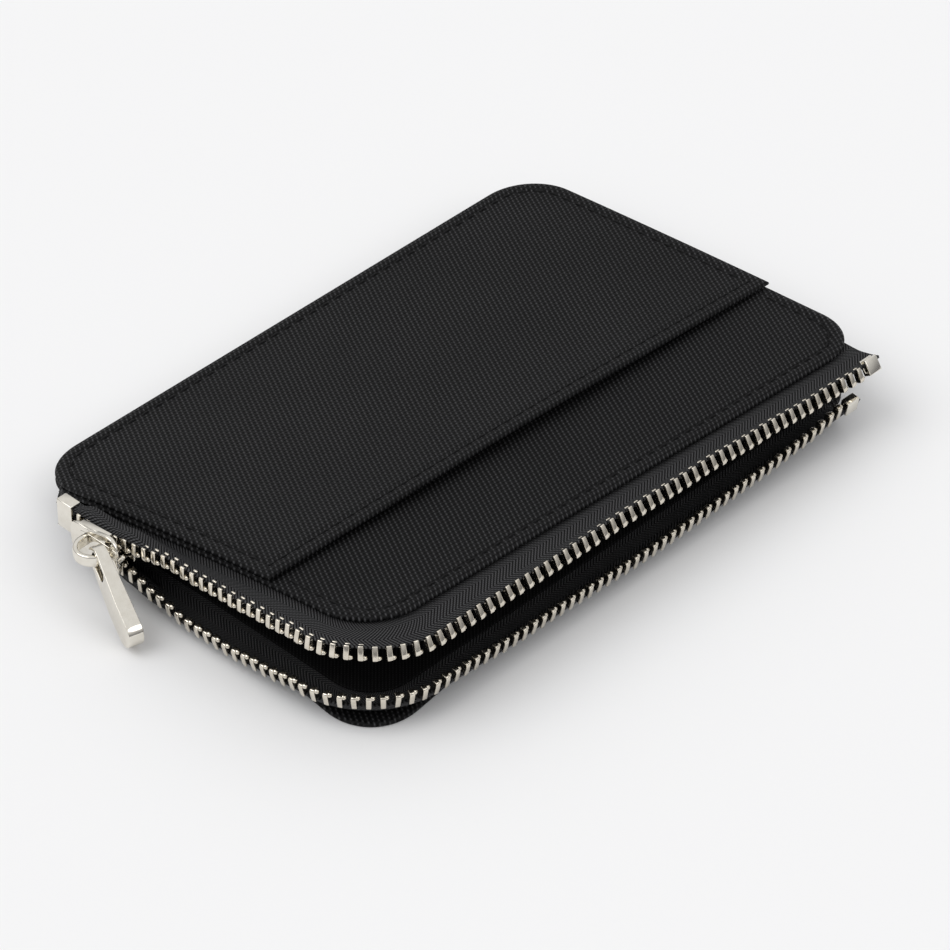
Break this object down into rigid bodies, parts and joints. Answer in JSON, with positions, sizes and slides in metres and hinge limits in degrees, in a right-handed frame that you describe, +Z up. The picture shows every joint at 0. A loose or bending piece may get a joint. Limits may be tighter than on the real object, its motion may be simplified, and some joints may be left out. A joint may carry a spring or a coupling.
{
  "type": "zippered pouch",
  "caption": "Slim woven fabric zip pouch with rounded corners, a slip pocket across the upper side and a metal zip round one end and the front, drawn open",
  "frame": {"origin": "middle of the base, where the bottom panel rests on the table", "axes": "+X along the long side towards the zip's free end, +Y towards the spine, +Z up; the zip runs down the -X side and along the -Y side"},
  "size_m": [0.1268, 0.082, 0.0167],
  "materials": {
    "outer_fabric": "coarse black plain weave",
    "lining_fabric": "fine black plain weave",
    "stiffener_board": "matt board",
    "tape_fabric": "black herringbone tape",
    "thread": "black twisted thread",
    "teeth_metal": "bright nickel",
    "stop_metal": "bright nickel",
    "slider_metal": "polished nickel"
  },
  "bodies": {
    "lower_shell": {"bottom_panel": "outer_fabric", "bottom_stiffener": "stiffener_board", "bottom_lining": "lining_fabric", "card_pocket": "lining_fabric", "card_pocket_binding": "tape_fabric", "spine_strip": "outer_fabric", "spine_lining": "lining_fabric", "side_gusset": "lining_fabric", "zip_tape_lower": "tape_fabric", "zip_teeth_lower": "teeth_metal", "top_stop_lower": "stop_metal", "bottom_stop": "stop_metal"},
    "upper_shell": {"top_panel": "outer_fabric", "slip_pocket_lining": "lining_fabric", "slip_pocket_panel": "outer_fabric", "top_stiffener": "stiffener_board", "top_lining": "lining_fabric", "zip_tape_upper": "tape_fabric", "zip_teeth_upper": "teeth_metal", "top_stop_upper": "stop_metal", "stitches_spine": "thread", "stitches_hem": "thread", "stitches_zip": "thread"},
    "slider": {"slider_body": "slider_metal", "slider_crown": "slider_metal"},
    "pull": {"pull_tab": "slider_metal"}
  },
  "joints": [
    {"name": "mouth_open", "type": "hinge", "parent": "lower_shell", "child": "upper_shell", "pos_m": [0, 0.0375, 0.0044], "axis": [-1, 0, 0], "range_deg": [-1, 12], "deforming": ["zip_tape_lower", "zip_teeth_lower", "zip_tape_upper", "zip_teeth_upper", "side_gusset"]},
    {"name": "zip_slide", "type": "slide", "parent": "lower_shell", "child": "slider", "axis": [0, -1, 0], "range_m": [0, 0.037], "deforming": ["zip_tape_lower", "zip_teeth_lower", "zip_tape_upper", "zip_teeth_upper"]},
    {"name": "pull_swing", "type": "hinge", "parent": "slider", "child": "pull", "pos_m": [-0.0646, 0.0131, 0.0095], "axis": [0, 0, -1], "range_deg": [-19, 150]}
  ]
}
